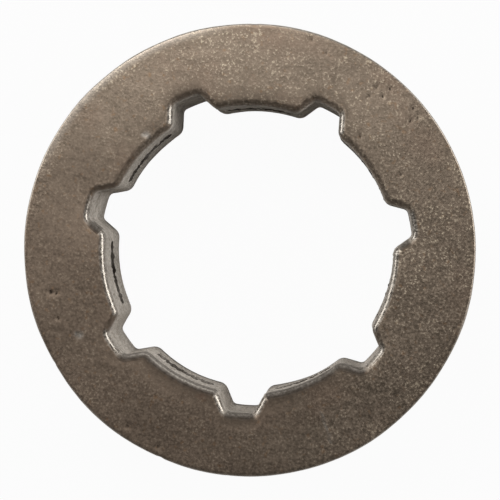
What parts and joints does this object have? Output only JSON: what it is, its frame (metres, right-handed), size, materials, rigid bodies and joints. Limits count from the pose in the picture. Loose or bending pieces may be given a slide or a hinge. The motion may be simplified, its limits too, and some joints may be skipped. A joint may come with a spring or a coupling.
{
  "type": "chainsaw rim sprocket",
  "caption": "Flat steel ring with a splined bore and a chain groove round its edge, whose tooth pockets break through the spline lobes; drives a saw chain from a clutch drum hub.",
  "frame": {"origin": "centre of the back face, on the ring's axis", "axes": "+Z along the ring's axis, from the back face to the front face; +X through the middle of one spline lobe and its drive pocket"},
  "size_m": [0.0346, 0.0346, 0.01],
  "materials": {
    "rim_steel": "as cast, tumbled, thinly oxidised brownish grey, with small pits and bright worn edges"
  },
  "bodies": {
    "root": {"rim_sprocket": "rim_steel"}
  },
  "joints": []
}
